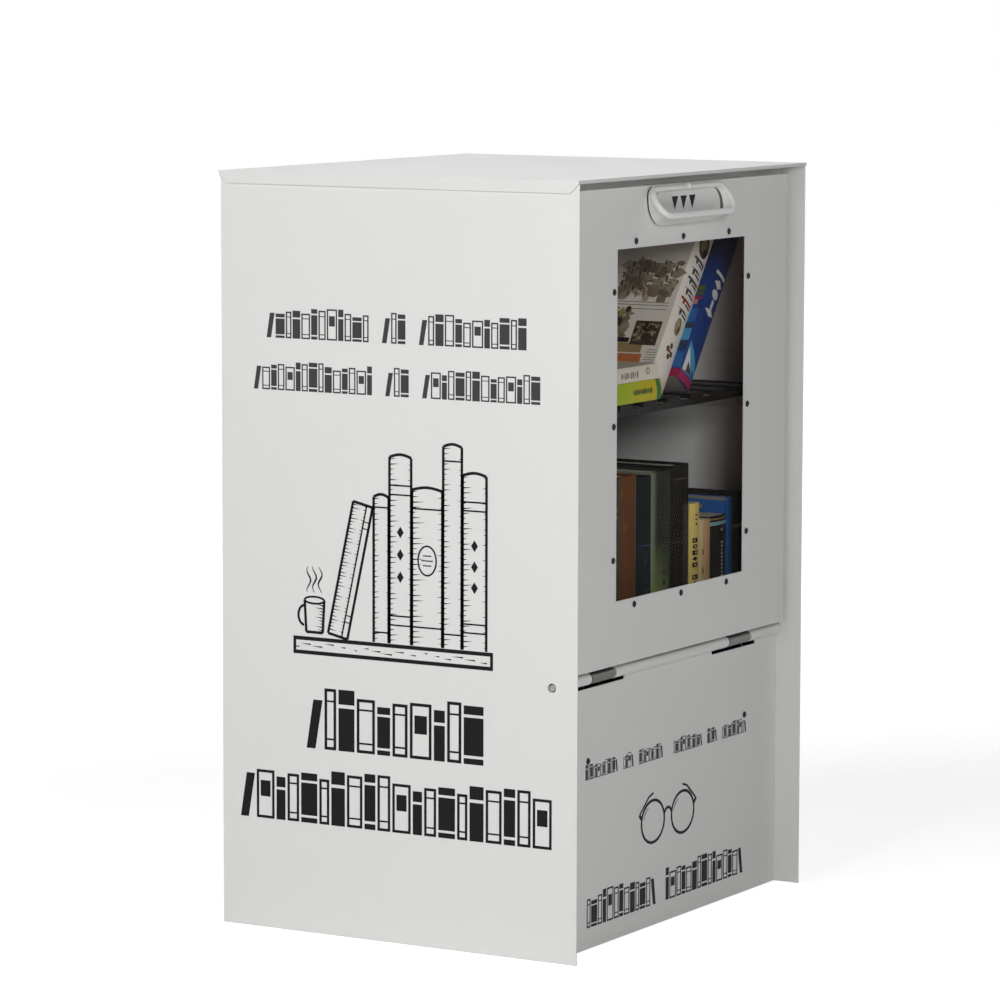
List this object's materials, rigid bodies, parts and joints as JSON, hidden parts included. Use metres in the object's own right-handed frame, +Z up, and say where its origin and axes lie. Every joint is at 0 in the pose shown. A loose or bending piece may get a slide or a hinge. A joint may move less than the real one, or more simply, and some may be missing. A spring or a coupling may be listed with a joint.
{
  "type": "street book exchange box",
  "caption": "Sheet-steel street cabinet for books to share, with a sprung pull-down window door, a bar shelf and a row of books inside.",
  "frame": {"origin": "centre of the cabinet's base, on the ground", "axes": "+X to the right seen from the front, the door faces -Y, +Z up"},
  "size_m": [0.5016, 0.4355, 0.791],
  "materials": {
    "powder_coat": "semi-gloss white powder coat",
    "inner_paint": "satin off-white paint",
    "black_steel": "satin black paint",
    "zinc_steel": "dull zinc plate",
    "spring_steel": "oiled spring wire",
    "clear_sheet": "clear polycarbonate sheet",
    "handle_plastic": "white moulded plastic",
    "bumper_rubber": "matte black rubber",
    "cover_maroon": "cloth book cover over paper",
    "cover_charcoal": "black book cover over paper",
    "cover_blue": "glossy book cover over paper",
    "cover_tan": "satin book cover over paper",
    "cover_cream": "satin book cover over paper",
    "cover_green": "cloth book cover over paper",
    "cover_navy": "cloth book cover over paper",
    "cover_brown": "cloth book cover over paper",
    "cover_lime": "glossy book cover over paper",
    "cover_white": "glossy book cover over paper"
  },
  "bodies": {
    "cabinet": {"left_side_panel": "powder_coat", "right_side_panel": "powder_coat", "top_panel": "powder_coat", "back_panel": "powder_coat", "base_plate": "black_steel", "floor_pan": "inner_paint", "lower_front_panel": "powder_coat", "header_rail": "powder_coat", "left_jamb": "powder_coat", "right_jamb": "powder_coat", "door_bumper_left": "bumper_rubber", "door_bumper_right": "bumper_rubber", "hinge_rod": "zinc_steel", "torsion_spring_left": "spring_steel", "torsion_spring_right": "spring_steel", "panel_rivet_left": "black_steel", "panel_rivet_right": "black_steel", "book_shelf": "black_steel", "shelf_bracket_left": "inner_paint", "shelf_bracket_right": "inner_paint", "book_maroon": "cover_maroon", "book_charcoal": "cover_charcoal", "book_blue": "cover_blue", "book_black_small": "cover_charcoal", "book_tan": "cover_tan", "book_cream": "cover_cream", "book_yellow": "cover_cream", "book_black_tall": "cover_charcoal", "book_green": "cover_green", "book_navy": "cover_navy", "book_brown": "cover_brown", "book_olive": "cover_green", "book_grey": "cover_charcoal", "book_red": "cover_maroon", "book_teal": "cover_blue", "book_lime_flat": "cover_lime", "book_white_flat": "cover_white", "book_blue_leaning": "cover_blue", "book_white_leaning": "cover_white"},
    "door": {"door_panel": "powder_coat", "window_pane": "clear_sheet", "window_rivet_01": "black_steel", "window_rivet_02": "black_steel", "window_rivet_03": "black_steel", "window_rivet_04": "black_steel", "window_rivet_05": "black_steel", "window_rivet_06": "black_steel", "window_rivet_07": "black_steel", "window_rivet_08": "black_steel", "window_rivet_09": "black_steel", "window_rivet_10": "black_steel", "window_rivet_11": "black_steel", "window_rivet_12": "black_steel", "pull_handle": "handle_plastic", "handle_screw_left": "zinc_steel", "handle_screw_right": "zinc_steel"}
  },
  "joints": [
    {"name": "door_hinge", "type": "hinge", "parent": "cabinet", "child": "door", "pos_m": [0, -0.1845, 0.281], "axis": [1, 0, 0], "range_deg": [0, 90], "stiffness_Nm_per_rad": 3.5, "springref_deg": -40.11, "deforming": ["torsion_spring_left", "torsion_spring_right"]}
  ]
}
